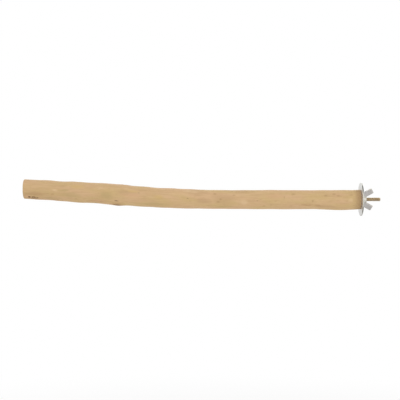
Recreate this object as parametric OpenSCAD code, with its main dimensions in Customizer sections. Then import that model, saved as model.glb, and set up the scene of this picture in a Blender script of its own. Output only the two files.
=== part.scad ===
// Bird perch: a peeled natural branch that clamps to the wall of a cage.
// The cage wires are gripped between two wide washers. A wing nut draws the washers
// together on a hanger bolt, whose other end is screwed into the end of the branch.
// +X runs along the bolt, out through the cage wall, and +Z is up.
// The origin is on the bolt's axis, in the plane where the two washers meet.

/* [Branch] */
// Length of the branch between its sawn ends
branch_length = 450; // [250:10:700]
// Mean diameter of the branch
branch_d = 26.7; // [20:0.5:36]
// Height of the middle of the free end above the bolt's axis
branch_rise = 14; // [0:0.2:30]
// Sideways bow of the branch near its middle
branch_bow = 3; // [0:0.5:10]
// Depth of the shallow hollows and swellings along the branch
branch_unevenness = 0.3; // [0:0.05:0.6]
// Height of the largest knot above the surface round it
knot_height = 0.9; // [0:0.1:1.5]
// Length along the branch of the largest knot
knot_length = 22; // [14:1:40]
// Rounding at the rim of each sawn end
rim_round = 1.2; // [0.4:0.1:2]

/* [Hanger bolt] */
// Outside diameter of the machine thread
thread_d = 5; // [4:0.5:8]
// Pitch of the machine thread
thread_pitch = 0.8; // [0.7:0.05:1.25]
// How far the bolt stands out past the plane where the washers meet
bolt_reach = 25.8; // [16:0.2:45]
// Length of machine thread that lies inside the branch
thread_sunk = 2; // [1:0.5:6]
// Diameter of the plain shank between the two threads
shank_d = 4.4; // [3.6:0.1:6.5]
// Length of the plain shank
shank_length = 5; // [2:0.5:12]
// Outside diameter of the wood thread
wood_thread_d = 5; // [4:0.1:7]
// Core diameter of the wood thread
wood_core_d = 3.4; // [2.6:0.1:3.8]
// Pitch of the wood thread
wood_pitch = 2.2; // [1.8:0.1:3]
// Length of the wood thread, its point included
wood_thread_length = 26; // [16:1:40]
// Length of the tapered point
point_length = 7; // [4:0.5:9]

/* [Washers] */
// Outside diameter of each washer
washer_d = 44.4; // [30:0.2:60]
// Thickness of each washer
washer_t = 0.8; // [0.6:0.1:2]
// Gap all round between the bolt and the hole of a washer
washer_play = 0.25; // [0.1:0.05:0.6]
// Rounding that the punch leaves along the washer's rim
washer_edge = 0.25; // [0.05:0.05:0.25]

/* [Wing nut] */
// Distance across the tips of the two wings
wing_span = 31; // [27:0.2:38]
// Height of the nut from its foot to the tips of the wings
nut_height = 15.6; // [14:0.1:20]
// Width of each wing at its tip
wing_w = 7.6; // [5.4:0.1:8.5]
// Angle between the tip of each wing and the foot of the nut
wing_slant = 29; // [20:1:50]
// Thickness of each wing where it leaves the hub
wing_root_t = 3; // [2:0.1:3.6]
// Thickness of each wing at its tip
wing_tip_t = 1.9; // [1.2:0.1:2.6]
// Turn of the wings about the bolt when the clamp is closed, measured from upright
wing_turn = 18; // [-90:1:90]
// Diameter of the hub at its foot
hub_foot_d = 12; // [11:0.1:15]
// Diameter of the hub at its top
hub_top_d = 8.8; // [8:0.1:11]
// Height of the hub
hub_height = 6.4; // [5:0.1:8]
// Gap all round between the bolt's thread and the nut's
thread_play = 0.1; // [0.08:0.01:0.12]
// How much wider than the bolt the countersink is all round at each end of the nut
countersink = 0.3; // [0.15:0.05:0.6]

/* [Hidden] */

// Numbers of facets
branch_rings = 72;
branch_sides = 32;
thread_sides = 18;
wing_fn = 24;
round_fn = 96;

// One overrun serves every cut, so that no cut ends on the face that it opens
overrun = 1;

// Places along X
branch_face = -washer_t;
nut_foot = washer_t;
hub_top = nut_foot + hub_height;
shank_start = branch_face - thread_sunk;
wood_thread_start = shank_start - shank_length;
bolt_point = wood_thread_start - wood_thread_length;

// A metric thread's depth, its flat crest and the slope of its flanks
thread_depth = 0.6134 * thread_pitch;
thread_crest = thread_pitch / 8;
flank_angle = 30;
bolt_r = thread_d / 2;
root_r = bolt_r - thread_depth;

// The wood thread is deeper, with a crest that is nearly sharp
wood_r = wood_thread_d / 2;
wood_core_r = wood_core_d / 2;
wood_crest = wood_pitch / 16;
wood_flank_angle = 20;
point_r = wood_core_r / 6;

// The pilot hole is as wide as the wood thread's core, with its mouth drilled out for the shank
pilot_play = 0.05;
pilot_rest = 1;

// How the branch runs, from the bolt's end at 0 to the free end at 1. Each row holds a share of
// the length, the height of the middle as a share of the rise, and the girth as a share of the mean.
course_shares = [
    [0, -0.005, 0.975], [0.03, -0.045, 0.99], [0.06, -0.06, 1.015], [0.09, -0.05, 0.995],
    [0.12, -0.04, 0.975], [0.15, -0.025, 0.95], [0.24, -0.025, 0.955], [0.33, -0.015, 0.955],
    [0.417, -0.015, 0.955], [0.477, 0.03, 0.955], [0.507, 0.05, 0.975], [0.536, 0.075, 0.975],
    [0.566, 0.125, 0.985], [0.596, 0.165, 0.98], [0.626, 0.23, 0.995], [0.655, 0.28, 1.02],
    [0.685, 0.36, 1.015], [0.715, 0.43, 1.056], [0.745, 0.525, 1.062], [0.774, 0.58, 1.04],
    [0.804, 0.63, 1.02], [0.834, 0.675, 1.035], [0.864, 0.745, 1.01], [0.893, 0.795, 0.98],
    [0.923, 0.87, 0.985], [0.953, 0.91, 0.985], [0.983, 0.97, 0.987], [1, 1, 0.997]
];
smoothing_share = 0.008;

// Knots: the share of the length, the angle round the branch in degrees, with 90 on top and 180
// in front, and the height, length and width as shares of the largest knot's
knot_shares = [
    [0.722, 250, 1, 1, 0.7], [0.702, 95, 0.7, 0.7, 0.6], [0.96, 225, 0.5, 0.8, 0.5],
    [0.43, 60, 0.6, 0.9, 0.6], [0.2, 310, 0.5, 0.8, 0.5], [0.055, 200, 0.35, 0.9, 0.7]
];

// The smallest and largest of a value's limits
function clamp(value, low, high) = max(low, min(high, value));

// A column of the course at one share of the length, evened out over its neighbours
function course(share, column) =
    let (table = [for (row = course_shares) [row[0], row[column]]])
    (lookup(share - smoothing_share, table) + 2 * lookup(share, table)
        + lookup(share + smoothing_share, table)) / 4;

// Half a turn is the furthest that two directions can be apart
function apart(a, b) = let (d = abs(a - b) % 360) min(d, 360 - d);

// How far the knots lift the surface at one share of the length and one angle
function knot_lift(share, angle) = knot_height * sum_of([
    for (k = knot_shares)
        let (along = (share - k[0]) * branch_length / (k[3] * knot_length / 2),
             round = apart(angle, k[1]) / 360 * PI * branch_d / (k[4] * knot_length / 2))
        k[2] * exp(-along * along - round * round)
]);
function sum_of(list) = list * [for (v = list) 1];

// Long slow waves that keep the branch from being a turned rod
function waves(share, angle) = branch_unevenness / 2 * (
    sin(360 * 3.1 * share + 2 * angle) + 0.6 * sin(360 * 7.3 * share - 3 * angle + 40)
    + 0.4 * sin(360 * 13.7 * share + angle + 110));

// The rounding takes this much off the radius at a distance from the sawn end
function rim_loss(from_end) =
    from_end >= rim_round ? 0 : rim_round - sqrt(rim_round ^ 2 - (rim_round - from_end) ^ 2);

function branch_radius(share, angle) =
    let (from_end = min(share, 1 - share) * branch_length)
    branch_d / 2 * course(share, 2) + waves(share, angle) + knot_lift(share, angle) - rim_loss(from_end);

// Rings are close together in the rounding and evenly spread between
rim_shares = [0, 0.08, 0.3, 0.6, 1];
ring_places = concat(
    [for (s = rim_shares) s * rim_round / branch_length],
    [for (i = [1 : branch_rings - 1])
        (rim_round + (branch_length - 2 * rim_round) * i / branch_rings) / branch_length],
    [for (i = [len(rim_shares) - 1 : -1 : 0]) 1 - rim_shares[i] * rim_round / branch_length]
);

// A grid of points becomes a closed skin, when each ring has the same number of sides
function skin_faces(rings, sides) = concat(
    [[for (j = [sides - 1 : -1 : 0]) j]],
    [for (i = [0 : rings - 2]) for (j = [0 : sides - 1]) for (half = [0, 1])
        let (a = i * sides + j, b = a + sides,
             d = i * sides + (j + 1) % sides, c = d + sides)
        half == 0 ? [a, c, b] : [a, d, c]],
    [[for (j = [0 : sides - 1]) (rings - 1) * sides + j]]
);

module branch_skin() {
    points = [
        for (share = ring_places) for (j = [0 : branch_sides - 1])
            let (angle = 360 * j / branch_sides, r = branch_radius(share, angle),
                 bow = branch_bow * sin(180 * share), rise = branch_rise * course(share, 1))
            [branch_face - share * branch_length, bow + r * cos(angle), rise + r * sin(angle)]
    ];
    polyhedron(points, skin_faces(len(ring_places), branch_sides), convexity = 4);
}

// Turns what stands along Z so that it lies along X
module along_x() {
    rotate([0, 90, 0]) children();
}

// The hole for the bolt: a pilot for the wood thread, and a wider mouth for the shank
module bolt_hole() {
    mouth_r = max(shank_d / 2, bolt_r) + pilot_play;
    along_x() {
        translate([0, 0, wood_thread_start])
            cylinder(r = mouth_r, h = branch_face - wood_thread_start + overrun, $fn = round_fn);
        translate([0, 0, bolt_point - pilot_rest])
            cylinder(r = wood_core_r + pilot_play, h = branch_face - bolt_point + pilot_rest, $fn = round_fn);
    }
}

module branch() {
    color("burlywood")
        difference() {
            branch_skin();
            bolt_hole();
        }
}

// A round rod with a helical thread between two heights. Four helical rows make one turn: up a
// flank, along the crest, down a flank, then along the root. The middle of the crest passes through
// every whole number of pitches from the origin, on the side where the angle is 0. It does so for
// any heights and any play, so that a bolt sits in the middle of its nut's thread. The ends narrow
// to the given radii, or widen to them when the rod is flared.
module threaded_rod(from, to, pitch, root, crest_r, crest_w, flank_w, from_r, to_r,
        rise_share = 1, flared = false) {
    row_z = [-crest_w / 2 - flank_w, -crest_w / 2, crest_w / 2, crest_w / 2 + flank_w];
    row_r = [root, crest_r, crest_r, root];
    base = (floor(from / pitch) - 1) * pitch;
    last = 4 * (ceil((to - base) / pitch) + 1);
    function z_of(m, j) = base + (floor(m / 4) + j / thread_sides) * pitch + row_z[m % 4];
    function shaped(r, z) =
        flared ? max(r, from_r + from - z, to_r + z - to)
        : min(r, from_r + (z - from) * rise_share, to_r + to - z);
    function index(m, j) =
        j >= thread_sides ? index(m + 4, j - thread_sides)
        : z_of(m, j) <= from ? j
        : z_of(m, j) >= to ? last * thread_sides + j
        : m * thread_sides + j;
    points = [
        for (m = [0 : last]) for (j = [0 : thread_sides - 1])
            let (z = clamp(z_of(m, j), from, to), r = shaped(row_r[m % 4], z),
                 angle = 360 * j / thread_sides)
            [r * cos(angle), r * sin(angle), z]
    ];
    flanks = [
        for (m = [0 : last - 1]) for (j = [0 : thread_sides - 1]) for (half = [0, 1])
            let (a = index(m, j), b = index(m, j + 1), c = index(m + 1, j + 1), d = index(m + 1, j),
                 face = half == 0 ? [a, d, c] : [a, c, b])
            if (face[0] != face[1] && face[1] != face[2] && face[2] != face[0]) face
    ];
    ends = [
        [for (j = [0 : thread_sides - 1]) j],
        [for (j = [thread_sides - 1 : -1 : 0]) last * thread_sides + j]
    ];
    polyhedron(points, concat(flanks, ends), convexity = 10);
}

// The machine thread, or the flared shape that cuts it in the nut with play all round
module machine_thread(from, to, play, end_r, flared) {
    crest_w = thread_crest + 2 * play * (1 / cos(flank_angle) - tan(flank_angle));
    threaded_rod(from, to, thread_pitch, root_r + play, bolt_r + play, crest_w,
        thread_depth * tan(flank_angle), end_r, end_r, flared = flared);
}

module hanger_bolt() {
    color("darkkhaki")
        along_x() {
            machine_thread(shank_start, bolt_reach, 0, root_r - thread_crest, false);
            translate([0, 0, wood_thread_start])
                cylinder(d = shank_d, h = shank_length, $fn = round_fn);
            threaded_rod(bolt_point, wood_thread_start, wood_pitch, wood_core_r, wood_r, wood_crest,
                (wood_r - wood_core_r) * tan(wood_flank_angle), point_r, wood_core_r - wood_crest,
                (wood_r - point_r) / point_length);
        }
}

// A punched washer between two heights, its rim rounded on the side away from the punch
module washer() {
    hole_r = bolt_r + washer_play;
    rim_r = washer_d / 2;
    rotate_extrude($fn = round_fn)
        difference() {
            translate([hole_r, 0])
                square([rim_r - hole_r, washer_t]);
            translate([rim_r - washer_edge, washer_t - washer_edge])
                difference() {
                    square(washer_edge + overrun);
                    circle(r = washer_edge, $fn = round_fn);
                }
        }
}

// The rounded sides of the two washers face away from each other
module inner_washer() {
    color("silver")
        mirror([1, 0, 0])
            along_x() washer();
}

module outer_washer() {
    color("lightgray")
        along_x() washer();
}

// One wing, in the plane of Z and X, leaning out from the hub and flaring to its tip
module wing() {
    root_ball = wing_root_t / 2;
    tip_ball = wing_tip_t / 2;
    across = (wing_w - wing_tip_t) * [-cos(wing_slant), sin(wing_slant)];
    tip_in = [wing_span / 2 - tip_ball, nut_height - tip_ball] + [across[0], 0];
    tip_out = tip_in - across;
    root_out = [hub_foot_d / 2 + wing_root_t * 2 / 3, root_ball];
    root_in = [hub_top_d / 2, hub_height - root_ball - wing_root_t / 4];
    hull() {
        for (p = [tip_out, tip_in])
            translate([p[0], 0, p[1]])
                sphere(r = tip_ball, $fn = wing_fn);
        for (p = [root_out, root_in])
            translate([p[0], 0, p[1]])
                sphere(r = root_ball, $fn = wing_fn);
    }
}

module hub() {
    cylinder(d1 = hub_foot_d, d2 = hub_top_d, h = hub_height, $fn = round_fn);
}

module wing_nut() {
    color("gainsboro")
        along_x()
            difference() {
                translate([0, 0, nut_foot]) {
                    hub();
                    for (side = [0, 180])
                        rotate([0, 0, side + wing_turn]) wing();
                }
                // The flare countersinks both ends, so that the nut starts easily on the bolt
                machine_thread(nut_foot - overrun, hub_top + overrun, thread_play,
                    bolt_r + countersink + overrun, true);
            }
}

branch();
hanger_bolt();
inner_washer();
outer_washer();
wing_nut();
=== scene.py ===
import functools
import math

import bmesh
import bpy
import numpy as np
from mathutils import Matrix, Vector


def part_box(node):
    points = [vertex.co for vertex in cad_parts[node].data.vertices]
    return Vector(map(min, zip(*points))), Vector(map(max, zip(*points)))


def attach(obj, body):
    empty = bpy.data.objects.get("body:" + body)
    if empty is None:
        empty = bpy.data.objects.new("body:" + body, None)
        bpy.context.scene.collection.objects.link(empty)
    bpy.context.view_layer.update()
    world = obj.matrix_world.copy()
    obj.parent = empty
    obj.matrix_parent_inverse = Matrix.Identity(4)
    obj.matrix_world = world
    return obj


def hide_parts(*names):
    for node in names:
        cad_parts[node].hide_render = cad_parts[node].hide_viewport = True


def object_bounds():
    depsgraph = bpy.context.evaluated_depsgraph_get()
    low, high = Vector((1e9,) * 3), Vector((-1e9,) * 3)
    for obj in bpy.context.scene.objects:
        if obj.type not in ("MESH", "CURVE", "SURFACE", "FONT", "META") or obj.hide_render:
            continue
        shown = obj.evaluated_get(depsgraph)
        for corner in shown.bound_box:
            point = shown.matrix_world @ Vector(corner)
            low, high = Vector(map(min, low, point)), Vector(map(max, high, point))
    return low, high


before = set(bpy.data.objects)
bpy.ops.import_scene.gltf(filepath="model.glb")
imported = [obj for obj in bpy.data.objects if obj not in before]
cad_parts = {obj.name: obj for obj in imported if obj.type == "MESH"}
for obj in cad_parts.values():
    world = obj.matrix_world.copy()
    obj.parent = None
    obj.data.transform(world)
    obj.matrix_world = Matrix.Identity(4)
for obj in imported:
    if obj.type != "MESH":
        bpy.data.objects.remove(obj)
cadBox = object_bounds()

mm = 0.001
turn = 2 * math.pi


def srgb(red, green, blue):
    # a screen colour, 0 to 255, as linear light
    def linear(value):
        value /= 255
        return value / 12.92 if value <= 0.04045 else ((value + 0.055) / 1.055) ** 2.4
    return (linear(red), linear(green), linear(blue), 1)


# Node trees are wired one at a time; a value or another node's socket can go into any input
currentTree = None


def startTree(tree):
    global currentTree
    currentTree = tree
    tree.nodes.clear()


def feed(socket, value):
    if isinstance(value, bpy.types.NodeSocket):
        currentTree.links.new(value, socket)
    else:
        socket.default_value = value


def newNode(kind, inputs=None, **settings):
    made = currentTree.nodes.new(kind)
    for key, value in settings.items():
        setattr(made, key, value)
    for key, value in (inputs or {}).items():
        feed(made.inputs[key], value)
    return made


def out(kind, inputs=None, **settings):
    # the first output of a new node
    return newNode(kind, inputs, **settings).outputs[0]


# sums
def calc(operation, *values):
    return out("ShaderNodeMath", dict(enumerate(values)), operation=operation)


def chained(operation):
    # a sum over any number of values
    return lambda *values: functools.reduce(lambda first, second: calc(operation, first, second), values)


total, times, most, least, minus, over = [
    chained(operation) for operation in ("ADD", "MULTIPLY", "MAXIMUM", "MINIMUM", "SUBTRACT", "DIVIDE")]


def timesPlus(value, factor, added):
    return calc("MULTIPLY_ADD", value, factor, added)


def distance(first, second):
    return calc("SQRT", total(times(first, first), times(second, second)))


def bell(value):
    # 1 in the middle, and 0 far out on both sides
    return calc("EXPONENT", times(value, value, -1))


def spread(value, low, high, toLow=0.0, toHigh=1.0, smooth=True):
    return out("ShaderNodeMapRange", {
        "Value": value, "From Min": low, "From Max": high, "To Min": toLow, "To Max": toHigh},
        interpolation_type="SMOOTHSTEP" if smooth else "LINEAR")


def between(share, first, second):
    return out("ShaderNodeMix", {0: share, 2: first, 3: second}, data_type="FLOAT")


def curve(value, points, low, high):
    # a smooth table, whose values lie between low and high
    made = newNode("ShaderNodeFloatCurve", {"Value": value})
    line = made.mapping.curves[0]
    while len(line.points) < len(points):
        line.points.new(0.5, 0.5)
    for point, (x, y) in zip(line.points, points):
        point.location = (x, (y - low) / (high - low))
        point.handle_type = "AUTO"
    made.mapping.update()
    return spread(made.outputs[0], 0, 1, low, high, smooth=False)


# places and patterns
def vector(x, y, z):
    return out("ShaderNodeCombineXYZ", {"X": x, "Y": y, "Z": z})


def parts(value):
    return newNode("ShaderNodeSeparateXYZ", {"Vector": value}).outputs


def vectorCalc(operation, *values):
    made = newNode("ShaderNodeVectorMath", dict(enumerate(values)), operation=operation)
    return made.outputs["Value" if operation == "LENGTH" else "Vector"]


def scaled(value, factors):
    return vectorCalc("MULTIPLY", value, factors)


def noise(place, scale, detail=2.0, roughness=0.5, distortion=0.0, output=0):
    return newNode("ShaderNodeTexNoise", {
        "Vector": place, "Scale": scale, "Detail": detail, "Roughness": roughness,
        "Distortion": distortion}).outputs[output]


def grained(place, along, *values, **settings):
    # a noise whose pattern is stretched along the branch
    return noise(scaled(place, (along, 1, 1)), *values, **settings)


# colours
def mix(share, first, second):
    return newNode("ShaderNodeMix", {0: share, 6: first, 7: second}, data_type="RGBA").outputs[2]


def tinted(color, *layers):
    # lays tones over a colour, each as strong as its strength and its masks together say
    for tone, strength, *masks in layers:
        color = mix(times(*masks, strength), color, tone)
    return color


def newTree(name, kind, inputs, outputs):
    # an input is its first value, or a word for the kind of socket; an output is such a word
    kinds = {float: "Float", int: "Int", tuple: "Color", bpy.types.Object: "Object",
             bpy.types.Material: "Material"}
    tree = bpy.data.node_groups.new(name, kind)
    for way, sockets in (("INPUT", inputs), ("OUTPUT", outputs)):
        for label, value in sockets.items():
            word = value if isinstance(value, str) else kinds[type(value)]
            socket = tree.interface.new_socket(label, in_out=way, socket_type="NodeSocket" + word)
            if word is not value:
                socket.default_value = value
    startTree(tree)
    return tree, newNode("NodeGroupInput").outputs


# Geometry Nodes

def newGeometryTree(name, inputs):
    ends = {"Geometry": "Geometry"}
    tree, given = newTree(name, "GeometryNodeTree", {**ends, "Material": "Material", **inputs}, ends)
    tree.is_modifier = True
    return tree, given


def endGeometryTree(geometry, material):
    real = out("GeometryNodeRealizeInstances", {"Geometry": geometry})
    colored = out("GeometryNodeSetMaterial", {"Geometry": real, "Material": material})
    newNode("NodeGroupOutput", {"Geometry": colored})


def welded(geometry, reach):
    joined = out("GeometryNodeMergeByDistance", {"Geometry": geometry, "Distance": reach})
    return out("GeometryNodeSetShadeSmooth", {"Geometry": joined})


def moved(geometry, place):
    return out("GeometryNodeSetPosition", {"Geometry": geometry, "Position": place})


def addObject(name, mesh):
    piece = bpy.data.objects.new(name, mesh)
    bpy.context.scene.collection.objects.link(piece)
    return piece


def evaluatedMesh(piece):
    bpy.context.view_layer.update()
    return bpy.data.meshes.new_from_object(piece.evaluated_get(bpy.context.evaluated_depsgraph_get()))


def grown(name, mesh, tree, values):
    # runs a tree on a mesh, and gives the result back as a plain object
    holder = addObject(name + "Source", mesh)
    modifier = holder.modifiers.new(tree.name, "NODES")
    modifier.node_group = tree
    sockets = {s.name: s.identifier for s in tree.interface.items_tree if s.in_out == "INPUT"}
    for label, value in values.items():
        modifier[sockets[label]] = value
    result = evaluatedMesh(holder)
    bpy.data.objects.remove(holder)
    return addObject(name, result)


def finished(piece):
    # what the modifiers make becomes the mesh, and they go
    made = evaluatedMesh(piece)
    piece.modifiers.clear()
    piece.data = made


def setNumbers(mesh, name, values):
    mesh.attributes.new(name, "FLOAT", "POINT").data.foreach_set("value", np.asarray(values, np.float32))


def grownAround(name, mesh, makeTree, inputs, spots, units):
    # runs a tree that looks up the nearest of these spots on the branch, each with its share of the
    # length, its angle, and numbers in the given units
    lookup = bpy.data.meshes.new(name + "Spots")
    lookup.from_pydata([onBranch(*spot[:2]) for spot in spots], [], [])
    for (label, unit), values in zip(units.items(), list(zip(*spots))[2:]):
        setNumbers(lookup, label, [value * unit for value in values])
    holder = addObject(lookup.name, lookup)
    inputs = {**inputs, "Spots": holder}
    piece = grown(name, mesh, makeTree(inputs), inputs)
    bpy.data.objects.remove(holder)
    return piece


def namedNumber(label):
    return out("GeometryNodeInputNamedAttribute", {"Name": label}, data_type="FLOAT")


def nearestMarker(source, labels):
    # the way from the closest marker, and that marker's numbers
    here = out("GeometryNodeInputPosition")
    points = newNode("GeometryNodeObjectInfo", {"Object": source}, transform_space="ORIGINAL")
    points = points.outputs["Geometry"]
    index = out("GeometryNodeSampleNearest", {"Geometry": points}, domain="POINT")

    def sampled(value, kind):
        return out("GeometryNodeSampleIndex", {"Geometry": points, "Value": value, "Index": index},
                   data_type=kind)

    away = vectorCalc("SUBTRACT", here, sampled(here, "FLOAT_VECTOR"))
    return [away] + [sampled(namedNumber(label), "FLOAT") for label in labels]


def storeNumber(geometry, label, value, kind="FLOAT"):
    return out("GeometryNodeStoreNamedAttribute", {"Geometry": geometry, "Name": label, "Value": value},
               data_type=kind)


# Camera: the photograph's frame is 400 pixels wide, seen square on
camera = {
    "pixels": 400,
    "focalPixels": 988,            # from the washers' ellipses
    "mmPerPixel": 1.3387,          # at the bolt's axis
    "originPixel": (360.9, 199.4), # where the washers meet on the bolt's axis
    "centrePixel": (200, 200),
    "sensorWidth": 36,
}


def makeCamera():
    scale = camera["mmPerPixel"] * mm
    data = bpy.data.cameras.new("camera")
    data.sensor_width = camera["sensorWidth"]
    data.lens = camera["focalPixels"] * camera["sensorWidth"] / camera["pixels"]
    eye = addObject("camera", data)
    eye.location = (
        (camera["centrePixel"][0] - camera["originPixel"][0]) * scale,
        -camera["focalPixels"] * scale,
        (camera["originPixel"][1] - camera["centrePixel"][1]) * scale)
    eye.rotation_euler = (turn / 4, 0, 0)
    bpy.context.scene.camera = eye


makeCamera()
print("camera placed")


# Shader groups that several materials use

def makePlatingGroup():
    # the cloudy bloom, fine scratches and worn edges of a plated steel surface
    group, given = newTree("platedSurface", "ShaderNodeTree", {
        "Place": "Vector", "Edge": 0.0, "Dark": "Color", "Light": "Color", "Worn": "Color",
        "Bloom": "Color", "Bloom Share": 0.3, "Rough Low": 0.28, "Rough High": 0.46,
        "Grain Size": 1.2 * mm, "Cloud Size": 9 * mm},
        {"Color": "Color", "Roughness": "Float", "Height": "Float"})
    place = given["Place"]
    grainScale = over(1, given["Grain Size"])
    cloudScale = over(1, given["Cloud Size"])
    cloud = noise(place, cloudScale, 2, 0.5)
    grain = noise(place, grainScale, 4, 0.65)
    # two sets of hairline scratches that cross
    scratches = []
    for tilt, thin in ((0.5, 1.0), (-0.9, 1.4)):
        turned = out("ShaderNodeVectorRotate", {"Vector": place, "Angle": tilt}, rotation_type="X_AXIS")
        hairs = noise(scaled(turned, (1, 0.05, 1)), times(grainScale, 4 * thin), 1, 0.4, 0.3)
        scratches.append(spread(hairs, 0.66, 0.71))
    scratched = most(*scratches)
    shade = spread(total(times(cloud, 0.6), times(grain, 0.4)), 0.3, 0.7)
    color = mix(shade, given["Dark"], given["Light"])
    # passivation takes on another hue here and there
    hue = noise(scaled(place, (0.8, 1.1, 0.9)), times(cloudScale, 0.8), 1, 0.4)
    color = tinted(
        color, (given["Bloom"], given["Bloom Share"], spread(hue, 0.38, 0.62)),
        # the worn tone follows Edge, which on the nut also carries the painted highlight of its hub
        (given["Worn"], spread(grain, 0.15, 0.6), given["Edge"]), (given["Worn"], 0.3, scratched))
    rough = timesPlus(spread(grain, 0.3, 0.7), minus(given["Rough High"], given["Rough Low"]),
                      given["Rough Low"])
    height = minus(times(grain, 0.5), times(scratched, 0.3))
    newNode("NodeGroupOutput", {"Color": color, "Roughness": rough, "Height": height})
    return group


def makeMarkGroup():
    # how near a place is to the middle of an oval mark: 1 inside it, 0 outside
    group, given = newTree("ovalMark", "ShaderNodeTree", {
        "Place": "Vector", "Middle": "Vector", "Size": "Vector"}, {"Mask": "Float"})
    away = vectorCalc("SUBTRACT", given["Place"], given["Middle"])
    reach = vectorCalc("LENGTH", vectorCalc("DIVIDE", away, given["Size"]))
    newNode("NodeGroupOutput", {"Mask": spread(reach, 1.25, 0.35)})
    return group


platingGroup = makePlatingGroup()
markGroup = makeMarkGroup()
platingBump = (0.25, 0.05 * mm)


def ovalMark(place, middle, size):
    return out("ShaderNodeGroup", {"Place": place, "Middle": middle, "Size": size}, node_tree=markGroup)


def newMaterial(name):
    material = bpy.data.materials.new(name)
    material.use_nodes = True
    startTree(material.node_tree)
    return material


def objectPlace():
    return newNode("ShaderNodeTexCoord").outputs["Object"]


def attribute(label, output="Fac"):
    return newNode("ShaderNodeAttribute", attribute_name=label).outputs[output]


def surfaced(inputs, height, strength, depth):
    # ends a material: its shader, with the height as bumps
    bump = out("ShaderNodeBump", {"Height": height, "Strength": strength, "Distance": depth})
    shader = out("ShaderNodeBsdfPrincipled", {**inputs, "Normal": bump})
    newNode("ShaderNodeOutputMaterial", {"Surface": shader})


def platedMaterial(name, piece, edgeName):
    # edgeName is the attribute that says how worn each point is; on the nut it also carries the painted
    # highlight of the hub, and on the washers it bounds the painted dark reflections
    material = newMaterial(name)
    place, edge = objectPlace(), attribute(edgeName)
    plating = newNode("ShaderNodeGroup", {"Place": place, "Edge": edge, **piece["finish"]},
                      node_tree=platingGroup).outputs
    color = plating["Color"]
    # dark reflections painted where the edge attribute is high, inside each oval
    if "paintedReflections" in piece:
        found = most(*(times(ovalMark(place, middle, size), strength)
                       for middle, size, strength in piece["paintedReflections"]))
        color = tinted(color, (piece["reflectionTone"], edge, found))
    surfaced({"Base Color": color, "Roughness": plating["Roughness"], "Metallic": piece["metallic"]},
             plating["Height"], *platingBump)
    return material


# Branch
branchLow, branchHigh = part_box("branch")

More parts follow.
